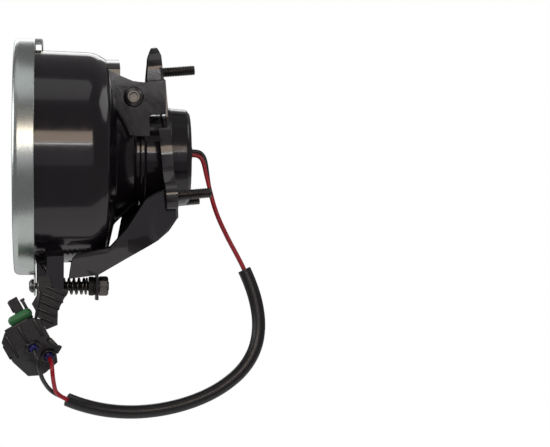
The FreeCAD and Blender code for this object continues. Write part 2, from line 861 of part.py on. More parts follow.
LOOM = [
    (0.3, 115.8, -18.5),
    (0.5, 119.6, -33.0),
    (0.8, 126.6, -48.2),
    (1.3, 133.6, -61.0),
    (2.0, 139.4, -73.4),
    (3.0, 143.6, -86.3),
    (4.0, 145.4, -100.6),
    (5.2, 143.0, -114.8),
    (6.8, 135.3, -127.1),
    (8.6, 123.2, -136.8),
    (10.4, 109.2, -143.8),
    (12.2, 92.0, -148.8),
    (14.2, 73.0, -151.0),
    (16.6, 54.4, -149.8),
    (19.6, 37.4, -145.4),
    (23.0, 24.6, -139.4),
]
RED_FIRST = [
    (WIRE_SIDE, 105.4, GROMMET_UP - WIRE_RISE),
    (WIRE_SIDE, 108.6, GROMMET_UP - WIRE_RISE),
    (WIRE_SIDE, 111.1, -0.6),
    (WIRE_SIDE, 112.4, -3.8),
    (WIRE_SIDE, 113.6, -9.6),
]
BLACK_FIRST = [
    (-WIRE_SIDE, 105.4, GROMMET_UP + WIRE_RISE),
    (-WIRE_SIDE, 108.9, GROMMET_UP + WIRE_RISE),
    (-WIRE_SIDE, 111.8, 2.4),
    (-WIRE_SIDE, 113.4, -0.8),
    (-WIRE_SIDE, 114.4, -6.4),
]

# The connector leans forward; its wires leave square to a face cut across its lower near edge.
CONNECTOR_LEAN = 29.0
CONNECTOR_MIDDLE = V(28.5, 10.0, -110.0)
CONNECTOR_TURN = FreeCAD.Rotation(X_AXIS, CONNECTOR_LEAN)
WIRE_OUT = CONNECTOR_TURN.multVec(V(1, 0, -1).normalize())
RED_AT = CONNECTOR_MIDDLE + CONNECTOR_TURN.multVec(V(-1.4, 5.7, -10.4))
BLACK_AT = CONNECTOR_MIDDLE + CONNECTOR_TURN.multVec(V(7.3, 0.6, -1.7))
RED_LAST = [
    (29.6, 23.2, -132.6),
    (33.6, 22.4, -126.2),
    tuple(RED_AT + WIRE_OUT * 6.0),
    tuple(RED_AT - WIRE_OUT * 1.5),
]
BLACK_LAST = [
    (24.2, 21.0, -136.6),
    (29.6, 18.6, -133.2),
    (35.2, 16.4, -129.0),
    (39.6, 15.0, -123.2),
    tuple(BLACK_AT + WIRE_OUT * 7.0),
    tuple(BLACK_AT - WIRE_OUT * 1.5),
]


def smooth_path(points, trimmed=False):
    """Straight runs joined by tangent arcs, as one wire.

    A trimmed path starts and ends at the middle of its first and last runs.
    """
    points = [V(*p) for p in points]
    legs = [b - a for a, b in zip(points, points[1:])]
    at = (points[0] + points[1]) * 0.5 if trimmed else points[0]
    end = (points[-2] + points[-1]) * 0.5 if trimmed else points[-1]
    edges, radii = [], []
    for corner, before, after in zip(points[1:], legs, legs[1:]):
        half_turn = before.getAngle(after) / 2
        reach = 0.45 * min(before.Length, after.Length)
        radii.append(reach / math.tan(half_turn))
        enter = corner - V(before).normalize() * reach
        leave = corner + V(after).normalize() * reach
        inward = ((enter + leave) * 0.5 - corner).normalize()
        middle = corner + inward * radii[-1] * (1 / math.cos(half_turn) - 1)
        edges += [Part.LineSegment(at, enter).toShape(), Part.Arc(enter, middle, leave).toShape()]
        at = leave
    edges.append(Part.LineSegment(at, end).toShape())
    return Part.Wire(edges), radii


def tube(name, points, radius, bore=0.0, trimmed=False):
    """A cord's solid, with its radii and its volume printed."""
    path, radii = smooth_path(points, trimmed)
    start = path.Edges[0].valueAt(path.Edges[0].FirstParameter)
    along = path.Edges[0].tangentAt(path.Edges[0].FirstParameter)
    skins = [
        path.makePipeShell([Part.Wire(Part.makeCircle(size, start, along))], True, True)
        for size in (radius, bore) if size
    ]
    solid = skins[0].cut(skins[1]) if bore else skins[0]
    wanted = math.pi * (radius**2 - bore**2) * path.Length
    print(f"{name}: length {path.Length:.1f}, radii " + " ".join(f"{r:.0f}" for r in radii))
    print(f"{name}: volume {solid.Volume:.1f}, section times length {wanted:.1f}")
    return solid


def beside(points, side):
    """The route moved sideways, for one wire of two in a sleeve."""
    return [(x + side, along, up) for x, along, up in points]


red_route = RED_FIRST + beside(LOOM, 1.32) + RED_LAST
black_route = BLACK_FIRST + beside(LOOM, -1.32) + BLACK_LAST
free_shape("red_wire", tube("red_wire", red_route, number("wire_radius")))
free_shape("black_wire", tube("black_wire", black_route, number("wire_radius")))
free_shape("wire_sleeve", tube("wire_sleeve", LOOM[3:], number("sleeve_radius"), number("sleeve_bore"), True))

# The connector, parked beside the adjuster lug ---------------------------------------------------------

# In the connector's frame +Z is its mating end and the sketches are drawn in (across, up).
CONNECTOR = LAMP * FreeCAD.Placement(CONNECTOR_MIDDLE, CONNECTOR_TURN)
SEAL_RADIUS = 2.4
SEAL_OUT = 3.0
connector = body("ConnectorBlock", CONNECTOR)
pad(connector, "YZ_Plane", -10.0, 20.0, points=[
    (-9.5, 13.0),
    (-13.6, 9.0),
    (-13.6, -4.0),
    (-10.4, -15.6),
    (-3.0, -19.4),
    (8.2, -17.0),
    (11.4, -9.0),
    (11.6, 10.0),
    (8.0, 13.0),
])
# The wire face.
pocket(connector, "XZ_Plane", 20, 40, points=[(11.0, 2.0), (-11.0, -20.0), (11.0, -20.0)])
NODES.remove(connector)
bored = connector
for label, at in (("red_wire_seal", RED_AT), ("black_wire_seal", BLACK_AT)):
    bored = joined("Part::Cut", bored, rod(SEAL_RADIUS, 9.0, at - WIRE_OUT * 1.5, WIRE_OUT))
    seal = joined(
        "Part::Cut",
        rod(SEAL_RADIUS, 1.5 + SEAL_OUT, at - WIRE_OUT * 1.5, WIRE_OUT),
        rod("wire_radius", 9.0, at - WIRE_OUT * 3, WIRE_OUT),
    )
    seal.Label = label
    NODES.append(seal)
bored.Label = "connector_body"
NODES.append(bored)
housing_top = body("connector_mating_end", CONNECTOR)
pad(housing_top, "XY_Plane", 13.0, 3.2, points=[
    (-4.5, 1.5, 4.5), (4.5, 1.5), (4.5, 4.5, 4.5), (-4.5, 4.5),
])
turned_seal = body("connector_seal", CONNECTOR)
pad(turned_seal, "XY_Plane", 16.2, 3.2, points=[
    (-5.5, 1.0, 5.5), (5.5, 1.0), (5.5, 5.0, 5.5), (-5.5, 5.0),
])
lock = body("connector_lock", CONNECTOR)
pad(lock, "XY_Plane", 19.4, 8.6, points=[(-3.5, 0.8), (3.5, 0.8), (3.5, 6.2), (-3.5, 6.2)])
pocket(lock, "XY_Plane", 29.0, 8.0, points=[(-2.5, 1.8), (2.5, 1.8), (2.5, 5.2), (-2.5, 5.2)])
group("connector_terminals", [rod(0.6, 6.5, V(x, 3.5, 21.0), Z_AXIS, CONNECTOR) for x in (-1.6, 1.6)])

clip = body("ClipBlank", LAMP)
CLIP_NEAR = LUG_RIGHT
pad(clip, "YZ_Plane", CLIP_NEAR, 9.0, points=[
    (14.6, -71.0),
    (20.4, -71.0),
    (22.4, -77.6),
    (31.4, -79.8),
    (28.2, -85.6),
    (25.6, -90.8),
    (25.4, -99.0),
    (19.0, -101.6),
    (12.0, -97.0),
    (10.6, -86.8),
    (14.6, -79.8),
])
NODES.remove(clip)
connector_room = doc.addObject("Part::Box", "ConnectorRoom")
for path, size in (("Length", 24.0), ("Width", 25.8), ("Height", 40.0)):
    setattr(connector_room, path, size)
connector_room.Placement = CONNECTOR * FreeCAD.Placement(V(-12, -14, -20), FreeCAD.Rotation())
trimmed_clip = joined("Part::Cut", clip, connector_room)
trimmed_clip.Label = "connector_clip"
NODES.append(trimmed_clip)

doc.recompute()
for thing in doc.Objects:
    if {"Invalid", "Error"} & set(thing.State):
        raise RuntimeError(f"{thing.Label} did not build: {thing.State}")
labels = [made.Label for made in NODES]
if len(set(labels)) != len(labels):
    raise RuntimeError("two sub-parts share a name")
os.makedirs("parts", exist_ok=True)
for made in NODES:
    shape = made.Shape
    if shape.isNull() or not shape.isValid() or not shape.Solids:
        raise RuntimeError(f"{made.Label} is not a sound solid")
    shape.exportStep(f"parts/{made.Label}.step")
    print(f"{made.Label}: {len(shape.Solids)} solid, {shape.Volume:.0f} mm3")
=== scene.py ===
"""The looks of the round fog lamp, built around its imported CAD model.

Lengths are metres.  LAMP carries the lamp's own frame, with its axis along +Y and its origin at
the front of the bezel, into the row frame, where the lamp is tipped up by the aiming spring.
"""

import json
import math

import bmesh
import bpy
from mathutils import Matrix, Vector


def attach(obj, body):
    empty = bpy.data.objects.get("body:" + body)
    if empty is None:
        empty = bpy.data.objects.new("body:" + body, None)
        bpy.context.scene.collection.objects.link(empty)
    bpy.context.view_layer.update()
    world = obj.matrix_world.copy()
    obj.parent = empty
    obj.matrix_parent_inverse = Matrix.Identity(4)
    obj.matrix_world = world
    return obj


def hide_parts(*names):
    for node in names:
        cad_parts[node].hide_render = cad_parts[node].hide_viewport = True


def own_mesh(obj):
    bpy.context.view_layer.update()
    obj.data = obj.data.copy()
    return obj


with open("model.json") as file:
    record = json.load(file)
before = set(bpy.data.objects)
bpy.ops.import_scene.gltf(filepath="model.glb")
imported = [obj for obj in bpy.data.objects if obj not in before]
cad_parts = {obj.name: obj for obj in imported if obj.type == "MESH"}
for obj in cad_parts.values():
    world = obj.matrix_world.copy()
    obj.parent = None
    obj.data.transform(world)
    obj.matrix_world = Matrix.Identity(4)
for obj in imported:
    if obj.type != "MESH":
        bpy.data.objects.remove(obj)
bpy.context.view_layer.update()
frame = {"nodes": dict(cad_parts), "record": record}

MM = 0.001
NODES = frame["nodes"]
BODY = {n: b for b, names in frame["record"]["behaviour"]["bodies"].items() for n in names}
SLOT = {s["node"]: s["material_slot"] for s in frame["record"]["subparts"]}

# The lamp's frame and the sizes that the looks share with the CAD model ---------------------------

TILT = math.radians(4.75)
PLATE_IN_LAMP = Vector((0, 91.3, 0.5)) * MM
TURN = Matrix.Rotation(-TILT, 4, "X")
LAMP = TURN @ Matrix.Translation(-PLATE_IN_LAMP)
ROW = Matrix.Identity(4)
PIVOT_IN_LAMP = Vector((0, 69.1, 33.0)) * MM
SCREW_IN_LAMP = Vector((10.0, 0, -76.7)) * MM
TAB_SCREW_IN_LAMP = Vector((-7.8, 0, -76.5)) * MM
CONNECTOR_IN_LAMP = Vector((28.5, 10.0, -110.0))
CONNECTOR_TURN = math.radians(29)
CONNECTOR = (
    LAMP @ Matrix.Translation(CONNECTOR_IN_LAMP * MM) @ Matrix.Rotation(CONNECTOR_TURN, 4, "X"))
SCREW = LAMP @ Matrix.Translation(SCREW_IN_LAMP)

# Materials ----------------------------------------------------------------------------------------


def node(tree, kind, **sockets):
    """A new node with its sockets set; an underscore stands for a space in a socket's name."""
    made = tree.nodes.new(kind)
    for name, value in sockets.items():
        made.inputs[name.replace("_", " ")].default_value = value
    return made


def noise(tree, place, scale, detail=4.0):
    """A noise over the object's own coordinates."""
    made = node(tree, "ShaderNodeTexNoise", Scale=scale, Detail=detail)
    tree.links.new(place.outputs["Object"], made.inputs["Vector"])
    return made


def ranged(tree, value, low, high):
    """A noise's middle band spread from low to high."""
    made = node(tree, "ShaderNodeMapRange", From_Min=0.3, From_Max=0.7, To_Min=low, To_Max=high)
    tree.links.new(value, made.inputs["Value"])
    return made.outputs["Result"]


MIX_FACTOR, MIX_A, MIX_B, MIX_RESULT = 0, 6, 7, 2


def mixed(tree, factor, first, second):
    """A mix of two colours, each a value or another node's output."""
    made = tree.nodes.new("ShaderNodeMix")
    made.data_type = "RGBA"
    tree.links.new(factor, made.inputs[MIX_FACTOR])
    for socket, value in ((MIX_A, first), (MIX_B, second)):
        if isinstance(value, tuple):
            made.inputs[socket].default_value = value
        else:
            tree.links.new(value, made.inputs[socket])
    return made.outputs[MIX_RESULT]


def surface(name, colour, second, rough, grain, bump=0.0, bump_scale=0.0, blotch=60.0, edge_colour=None, **fixed):
    """A procedural finish: two close colours, a rough range and a bump, each from its own noise."""
    made = bpy.data.materials.new(name)
    made.use_nodes = True
    tree = made.node_tree
    shader = tree.nodes["Principled BSDF"]
    for socket, value in fixed.items():
        shader.inputs[socket.replace("_", " ")].default_value = value
    place = tree.nodes.new("ShaderNodeTexCoord")
    spread = ranged(tree, noise(tree, place, blotch).outputs["Fac"], 0, 1)
    shade = mixed(tree, spread, (*colour, 1), (*second, 1))
    # Convex edges, found by pointiness, are mixed toward a lighter colour.
    if edge_colour:
        edges = tree.nodes.new("ShaderNodeNewGeometry")
        band = node(tree, "ShaderNodeMapRange", From_Min=0.53, From_Max=0.62, To_Min=0.0, To_Max=0.7)
        tree.links.new(edges.outputs["Pointiness"], band.inputs["Value"])
        shade = mixed(tree, band.outputs["Result"], shade, (*edge_colour, 1))
    tree.links.new(shade, shader.inputs["Base Color"])
    fine = noise(tree, place, grain, 6.0)
    tree.links.new(ranged(tree, fine.outputs["Fac"], *rough), shader.inputs["Roughness"])
    if bump:
        relief = noise(tree, place, bump_scale, 5.0)
        lift = node(tree, "ShaderNodeBump", Strength=1.0, Distance=bump)
        tree.links.new(relief.outputs["Fac"], lift.inputs["Height"])
        tree.links.new(lift.outputs["Normal"], shader.inputs["Normal"])
    return made


FINISH = {
    "satin_chrome": surface(
        "satin_chrome", (0.60, 0.65, 0.63), (0.55, 0.60, 0.58), (0.25, 0.29), 160, blotch=40, Metallic=1.0),
    "gloss_black_paint": surface(
        "gloss_black_paint", (0.009, 0.007, 0.010), (0.014, 0.011, 0.015), (0.12, 0.18), 160, 4e-7, 240,
        Coat_Weight=0.4, Coat_Roughness=0.04),
    "bracket_paint": surface(
        "bracket_paint", (0.007, 0.006, 0.008), (0.011, 0.0095, 0.012), (0.08, 0.13), 260, 1.5e-6, 320,
        edge_colour=(0.05, 0.048, 0.05), Coat_Weight=0.4, Coat_Roughness=0.06),
    "plated_steel": surface(
        "plated_steel", (0.55, 0.53, 0.49), (0.42, 0.40, 0.36), (0.24, 0.42), 900, 3e-6, 1500,
        Metallic=1.0),
    "dark_plated_steel": surface(
        "dark_plated_steel", (0.16, 0.155, 0.15), (0.10, 0.095, 0.09), (0.28, 0.42), 900, 3e-6, 1500,
        Metallic=1.0),
    "bright_reflector": surface(
        "bright_reflector", (0.94, 0.94, 0.93), (0.90, 0.90, 0.89), (0.16, 0.21), 200, Metallic=1.0),
    "black_rubber": surface(
        "black_rubber", (0.016, 0.016, 0.016), (0.026, 0.026, 0.026), (0.55, 0.75), 900, 8e-6, 1200),
    "cap_plastic": surface(
        "cap_plastic", (0.010, 0.009, 0.011), (0.015, 0.013, 0.017), (0.16, 0.24), 400, 2e-6, 500,
        Coat_Weight=0.3, Coat_Roughness=0.08),
    "red_insulation": surface(
        "red_insulation", (0.50, 0.006, 0.022), (0.40, 0.004, 0.016), (0.26, 0.38), 400, 4e-6, 600,
        blotch=90, Coat_Weight=0.2, Coat_Roughness=0.2),
    "black_insulation": surface(
        "black_insulation", (0.010, 0.010, 0.011), (0.018, 0.018, 0.020), (0.26, 0.38), 400, 4e-6, 600,
        Coat_Weight=0.2, Coat_Roughness=0.2),
    "sleeve_plastic": surface(
        "sleeve_plastic", (0.009, 0.009, 0.011), (0.016, 0.015, 0.018), (0.30, 0.44), 300, 1e-5, 220,
        Coat_Weight=0.12, Coat_Roughness=0.25),
    "connector_plastic": surface(
        "connector_plastic", (0.009, 0.009, 0.010), (0.017, 0.016, 0.019), (0.26, 0.40), 500, 5e-6, 700),
    "green_rubber": surface(
        "green_rubber", (0.045, 0.22, 0.075), (0.035, 0.17, 0.06), (0.36, 0.52), 600, 8e-6, 900),
    "blue_rubber": surface(
        "blue_rubber", (0.016, 0.012, 0.17), (0.012, 0.010, 0.12), (0.34, 0.50), 600, 8e-6, 900),
    "brass": surface("brass", (0.78, 0.58, 0.28), (0.66, 0.47, 0.20), (0.2, 0.34), 900, Metallic=1.0),
    "lens_glass": surface(
        "lens_glass", (0.95, 0.985, 0.97), (0.93, 0.975, 0.955), (0.02, 0.05), 120,
        Transmission_Weight=1.0, IOR=1.5),
    "bulb_glass": surface(
        "bulb_glass", (0.98, 0.99, 0.99), (0.97, 0.98, 0.98), (0.0, 0.02), 120,
        Transmission_Weight=1.0, IOR=1.47),
}

# Pieces -------------------------------------------------------------------------------------------


def piece(name, verts, faces, body, finish, place=ROW, sharp=30.0):
    """A mesh object of points in a frame, smooth but for its edges sharper than an angle."""
    mesh = bpy.data.meshes.new(name)
    mesh.from_pydata([tuple(place @ Vector(v)) for v in verts], [], faces)
    made = bpy.data.objects.new(name, mesh)
    bpy.context.scene.collection.objects.link(made)
    tidy = bmesh.new()
    tidy.from_mesh(mesh)
    bmesh.ops.remove_doubles(tidy, verts=tidy.verts, dist=2e-6)
    bmesh.ops.recalc_face_normals(tidy, faces=tidy.faces)
    tidy.to_mesh(mesh)
    tidy.free()
    dressed(made, body, finish, sharp)
    return made


def dressed(made, body, finish, sharp):
    """Gives a mesh its smoothing, finish, body and slot."""
    mesh = made.data
    mesh.shade_smooth()
    mesh.set_sharp_from_angle(angle=math.radians(sharp))
    mesh.materials.clear()
    mesh.materials.append(FINISH[finish])
    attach(made, body)


def rounded(points, steps=5):
    """A closed outline with each corner (a, b, radius) turned into an arc."""
    out = []
    count = len(points)
    for i, corner in enumerate(points):
        here = Vector(corner[:2])
        radius = corner[2] if len(corner) > 2 else 0
        before = Vector(points[i - 1][:2]) - here
        after = Vector(points[(i + 1) % count][:2]) - here
        half = before.angle(after) / 2
        if radius <= 0 or abs(half - math.pi / 2) < 0.01:
            out.append(tuple(here))
            continue
        reach = min(radius / math.tan(half), 0.49 * before.length, 0.49 * after.length)
        radius = reach * math.tan(half)
        middle = here + (before.normalized() + after.normalized()).normalized() * radius / math.sin(half)
        first = here + before.normalized() * reach - middle
        last = here + after.normalized() * reach - middle
        swing = first.angle_signed(last)
        for k in range(steps + 1):
            turn = -swing * k / steps
            x = first.x * math.cos(turn) - first.y * math.sin(turn)
            y = first.x * math.sin(turn) + first.y * math.cos(turn)
            out.append((middle.x + x, middle.y + y))
    return out


def turned(name, outline, body, finish, place=LAMP, segments=160, sharp=35.0, steps=5):
    """A solid of revolution about +Y from a closed outline of (along, radius, corner radius) in mm."""
    profile = rounded(outline, steps)
    verts, rings, faces = [], [], []
    for along, radius in profile:
        if radius < 1e-6:
            rings.append([len(verts)])
            verts.append((0, along * MM, 0))
            continue
        rings.append(list(range(len(verts), len(verts) + segments)))
        for k in range(segments):
            turn = 2 * math.pi * k / segments
            verts.append((radius * math.cos(turn) * MM, along * MM, radius * math.sin(turn) * MM))
    for i, ring in enumerate(rings):
        after = rings[(i + 1) % len(rings)]
        if len(ring) == 1 and len(after) == 1:
            continue
        for k in range(segments):
            n = (k + 1) % segments
            if len(ring) == 1:
                faces.append((ring[0], after[k], after[n]))
            elif len(after) == 1:
                faces.append((ring[k], after[0], ring[n]))
            else:
                faces.append((ring[k], after[k], after[n], ring[n]))
    return piece(name, verts, faces, body, finish, place, sharp)


SOFTENED_SHARP = 40.0


def softened(node_name, width, finish=None, name=None):
    """The CAD node's own shape with its edges broken by a small bevel, standing for the node."""
    made = bpy.data.objects.new(name or node_name + "_shape", NODES[node_name].data.copy())
    bpy.context.scene.collection.objects.link(made)
    tidy = bmesh.new()
    tidy.from_mesh(made.data)
    bmesh.ops.remove_doubles(tidy, verts=tidy.verts, dist=2e-6)
    bmesh.ops.dissolve_limit(
        tidy, angle_limit=math.radians(1.5), verts=tidy.verts, edges=tidy.edges,
        use_dissolve_boundaries=False)
    tidy.to_mesh(made.data)
    tidy.free()
    bevel = made.modifiers.new("Broken edges", "BEVEL")
    bevel.width = width * MM
    bevel.segments = 3
    bevel.limit_method = "ANGLE"
    bevel.angle_limit = math.radians(SOFTENED_SHARP)
    bevel.use_clamp_overlap = True
    for old in [a for a in made.data.attributes if a.name == "sharp_edge"]:
        made.data.attributes.remove(old)
    dressed(made, BODY[node_name], finish or SLOT[node_name], SOFTENED_SHARP)
    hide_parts(node_name)
    return made


def stood_for(node_name, *made):
    """Hides the CAD node that the pieces stand for."""
    for one in made:
        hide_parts(node_name)


def joined_mesh(name, parts, body, finish):
    """Several meshes as one piece."""
    mesh = bmesh.new()
    for part in parts:
        mesh.from_mesh(part.data)
        bpy.data.objects.remove(part)
    data = bpy.data.meshes.new(name)
    mesh.to_mesh(data)
    mesh.free()
    made = bpy.data.objects.new(name, data)
    bpy.context.scene.collection.objects.link(made)
    dressed(made, body, finish, 35.0)
    return made


def levelled(point, along):
    """A point of a flat outline in mm, in metres, at a place on the lamp's axis."""
    return (point[0] * MM, along * MM, point[1] * MM)


def plate(name, outline, low, high, body, finish, holes, edge=0.25, hole_sides=32):
    """A flat sheet from an outline (across, up, corner radius) in mm, between two places on the axis."""
    points = rounded(outline, 6)
    tidy = bmesh.new()
    ring = [tidy.verts.new(levelled(p, low)) for p in points]
    loops = [tidy.edges.new((a, ring[(i + 1) % len(ring)])) for i, a in enumerate(ring)]
    for across, up, radius in holes:
        hole = []
        for k in range(hole_sides):
            turn = 2 * math.pi * k / hole_sides
            point = (across + radius * math.cos(turn), up + radius * math.sin(turn))
            hole.append(tidy.verts.new(levelled(point, low)))
        loops += [tidy.edges.new((a, hole[(i + 1) % hole_sides])) for i, a in enumerate(hole)]
    bmesh.ops.triangle_fill(tidy, use_beauty=True, edges=loops)
    bmesh.ops.dissolve_limit(tidy, angle_limit=0.01, verts=tidy.verts, edges=tidy.edges)
    walls = bmesh.ops.extrude_face_region(tidy, geom=list(tidy.faces))
    shift = Vector(levelled((0, 0), high)) - Vector(levelled((0, 0), low))
    moved = [g for g in walls["geom"] if isinstance(g, bmesh.types.BMVert)]
    bmesh.ops.translate(tidy, vec=shift, verts=moved)
    bmesh.ops.recalc_face_normals(tidy, faces=tidy.faces)
    rims = [e for e in tidy.edges if len(e.link_faces) == 2 and e.calc_face_angle() > 1.0]
    bmesh.ops.bevel(tidy, geom=rims, offset=edge * MM, segments=2, affect="EDGES", profile=0.5)
    data = bpy.data.meshes.new(name)
    tidy.to_mesh(data)
    tidy.free()
    data.transform(LAMP)
    made = bpy.data.objects.new(name, data)
    bpy.context.scene.collection.objects.link(made)
    dressed(made, body, finish, 35.0)
    return made


def part_turned(name, outline, half_width, body, finish, segments=36):
    """A sector of a body of revolution, evenly about the top, with closed ends."""
    profile = rounded(outline, 5)
    reach = math.asin(half_width / outline[0][1])
    verts, faces = [], []
    for k in range(segments + 1):
        turn = math.pi / 2 - reach + 2 * reach * k / segments
        for along, radius in profile:
            verts.append((radius * math.cos(turn) * MM, along * MM, radius * math.sin(turn) * MM))
    count = len(profile)
    for k in range(segments):
        for i in range(count):
            j = (i + 1) % count
            faces.append((k * count + i, k * count + j, (k + 1) * count + j, (k + 1) * count + i))
    faces.append(tuple(range(count)))
    faces.append(tuple(range(segments * count, (segments + 1) * count)))
    return piece(name, verts, faces, body, finish, LAMP, 35)


def swept(name, path, radius, body, finish, place, sides=14):
    """A round wire along many close points, with flat ends."""
    path = [Vector(p) for p in path]
    verts, faces = [], []
    normal = (path[1] - path[0]).orthogonal().normalized()
    for i, point in enumerate(path):
        ahead = (path[min(i + 1, len(path) - 1)] - path[max(i - 1, 0)]).normalized()
        normal = (normal - ahead * normal.dot(ahead)).normalized()
        side = ahead.cross(normal)
        for k in range(sides):
            turn = 2 * math.pi * k / sides
            verts.append(point + (normal * math.cos(turn) + side * math.sin(turn)) * radius)
    for i in range(len(path) - 1):
        for k in range(sides):
            n = (k + 1) % sides
            faces.append((i * sides + k, i * sides + n, (i + 1) * sides + n, (i + 1) * sides + k))
    faces.append(tuple(range(sides)))
    faces.append(tuple(range((len(path) - 1) * sides, len(path) * sides)))
    return piece(name, verts, faces, body, finish, place, 40)


def block(name, size, at, place, finish, edge=0.5, turn=0.0):
    """A box with broken edges, turned about the X axis of its frame."""
    made = bmesh.new()
    bmesh.ops.create_cube(made, size=1.0)
    bmesh.ops.transform(made, matrix=Matrix.Diagonal((*[side * MM for side in size], 1)), verts=made.verts)
    bmesh.ops.bevel(made, geom=made.edges, offset=edge * MM, segments=3, affect="EDGES", profile=0.5)
    data = bpy.data.meshes.new(name)
    made.to_mesh(data)
    made.free()
    spot = Matrix.Translation(Vector(at) * MM) @ Matrix.Rotation(math.radians(turn), 4, "X")
    data.transform(place @ spot)
    made = bpy.data.objects.new(name, data)
    bpy.context.scene.collection.objects.link(made)
    dressed(made, "lamp", finish, 35.0)
    return made


# The bezel ----------------------------------------------------------------------------------------

bezel = turned("bezel", [
    (12.3, 70.0, 0.4), (3.0, 70.0, 3.0), (0.02, 69.0, 2.4), (0.02, 65.6, 0.5), (4.2, 65.0, 0.2),
    (4.2, 65.9, 0.2), (1.0, 65.9, 0.3), (1.0, 68.4, 1.6), (4.4, 69.0, 1.6), (12.3, 69.0, 0.4),
], "lamp", "satin_chrome", segments=256, steps=8)

TAB = TAB_SCREW_IN_LAMP / MM
tab = plate("bezel_tab", [
    (TAB.x - 6, -68.9), (TAB.x - 6, TAB.z - 5.9, 5.8), (TAB.x + 6, TAB.z - 5.9, 5.8), (TAB.x + 6, -68.9),
], 11.3, 12.3, "lamp", "satin_chrome", [(TAB.x, TAB.z, 2.2)])

hook = part_turned("bezel_hook", [
    (11.4, 69.98), (16.8, 69.98, 1.3), (16.8, 64.9, 0.4), (15.9, 64.9, 0.4), (15.9, 69.0, 0.6), (11.4, 69.0),
], 9.9, "lamp", "satin_chrome")
stood_for("bezel_ring", bezel, tab, hook)

# The lens -----------------------------------------------------------------------------------------

FLUTE_PITCH = 8.0
FLUTED_TO = 60.0
FLUTE_DEPTH = 1.5
FLUTE_FADE = 1.4
GLASS_BACK = 6.6
GLASS_EDGE = 64.6
BORDER_FROM, BORDER_WIDTH = 61.0, 3.6
LENS_FLANGE = 67.8


def fluted(x, z):
    """How far the back of the glass is cut in at a place: upright flutes, stepped at their ends."""
    column = round(x / FLUTE_PITCH)
    middle = column * FLUTE_PITCH
    if abs(middle) > FLUTED_TO - 3:
        return 0.0
    end = math.sqrt(FLUTED_TO**2 - middle**2)
    fade = min(max((end - abs(z)) / FLUTE_FADE, 0.0), 1.0)
    across = (x - middle) / (FLUTE_PITCH / 2)
    return FLUTE_DEPTH * (1 - across * across) * fade


def glass_front(radius):
    """The front of the glass: a low dome that drops to a rolled border."""
    dome = 0.75 + 1.5 * (radius / GLASS_EDGE) ** 2
    if radius > BORDER_FROM:
        dome += 1.6 * ((radius - BORDER_FROM) / BORDER_WIDTH) ** 2
    return min(dome, 4.2)


LENS_RINGS = [2.2 + 1.14 * k for k in range(55)] + [64.9]
LENS_TURNS = 360


def lens_mesh():
    """The glass: a smooth front, a fluted back and the flange that joins them."""
    verts, faces = [], []
    sides = []
    for back in (False, True):
        rows = []
        for radius in LENS_RINGS:
            row = []
            for k in range(LENS_TURNS):
                turn = 2 * math.pi * k / LENS_TURNS
                x, z = radius * math.cos(turn), radius * math.sin(turn)
                along = GLASS_BACK - fluted(x, z) if back else glass_front(radius)
                row.append(len(verts))
                verts.append((x * MM, along * MM, z * MM))
            rows.append(row)
        centre = len(verts)
        verts.append((0, (GLASS_BACK - fluted(0, 0) if back else glass_front(0)) * MM, 0))
        for a, b in zip(rows, rows[1:]):
            for k in range(LENS_TURNS):
                n = (k + 1) % LENS_TURNS
                faces.append((a[k], b[k], b[n], a[n]))
        for k in range(LENS_TURNS):
            faces.append((centre, rows[0][k], rows[0][(k + 1) % LENS_TURNS]))
        sides.append(rows[-1])
    # The flange behind the bezel's lip joins the two sides.
    rim = []
    for along in (4.3, 6.9):
        rim.append(list(range(len(verts), len(verts) + LENS_TURNS)))
        for k in range(LENS_TURNS):
            turn = 2 * math.pi * k / LENS_TURNS
            verts.append((LENS_FLANGE * math.cos(turn) * MM, along * MM, LENS_FLANGE * math.sin(turn) * MM))
    loop = [sides[0], rim[0], rim[1], sides[1]]
    for a, b in zip(loop, loop[1:]):
        for k in range(LENS_TURNS):
            n = (k + 1) % LENS_TURNS
            faces.append((a[k], b[k], b[n], a[n]))
    return verts, faces


lens = piece("fluted_lens", *lens_mesh(), "lamp", "lens_glass", LAMP, 50.0)
stood_for("lens", lens)

# The reflector, the shell and the pieces welded to it ---------------------------------------------

BOWL_FRONT, BOWL_BACK = (7.3, 60.6), (56.0, 11.0)
BOWL_SLOPE = (BOWL_FRONT[1] ** 2 - BOWL_BACK[1] ** 2) / (BOWL_BACK[0] - BOWL_FRONT[0])
BOWL_STEPS = 40


def bowl(offset, low, high):
    """Points on a parabola of revolution between two places on its axis."""
    out = []
    for k in range(BOWL_STEPS + 1):
        along = low + (high - low) * k / BOWL_STEPS
        out.append((along, math.sqrt(BOWL_FRONT[1] ** 2 - BOWL_SLOPE * (along - BOWL_FRONT[0])) + offset))
    return out


reflector = turned("reflector_bowl", (
    [(8.7, 62.9), (7.35, 62.9)] + bowl(0, 7.3, 55.9) + [(60.0, 11.05), (60.0, 12.1)]
    + bowl(1.1, 55.9, 8.7)
), "lamp", "bright_reflector", segments=180, sharp=50)
stood_for("reflector", reflector)

shell = turned("housing", [
    (9.0, 67.9, 0.3), (10.5, 67.9, 0.5), (10.5, 63.3, 1.4), (47.0, 62.1, 22.0), (54.6, 57.6, 5.0),
    (58.6, 40.0, 5.0), (67.8, 30.9, 5.0), (70.8, 28.0, 2.0), (73.0, 28.0, 0.3), (73.0, 26.9, 0.2),
    (70.1, 26.9, 1.0), (59.0, 37.2, 6.0), (54.0, 56.0, 4.0), (46.0, 61.0, 20.0), (9.0, 62.1),
], "lamp", "gloss_black_paint", segments=220, steps=10)
stood_for("housing_shell", shell)
neck = turned("neck", [
    (73.0, 24.8, 0.2), (73.0, 29.4, 1.2), (76.5, 29.4, 1.2), (76.5, 26.0, 0.8), (97.0, 26.0, 0.4),
    (97.0, 24.8, 0.2),
], "lamp", "gloss_black_paint", segments=160, steps=6)
stood_for("neck_tube", neck)
softened("pivot_yoke", 0.4, "bracket_paint")
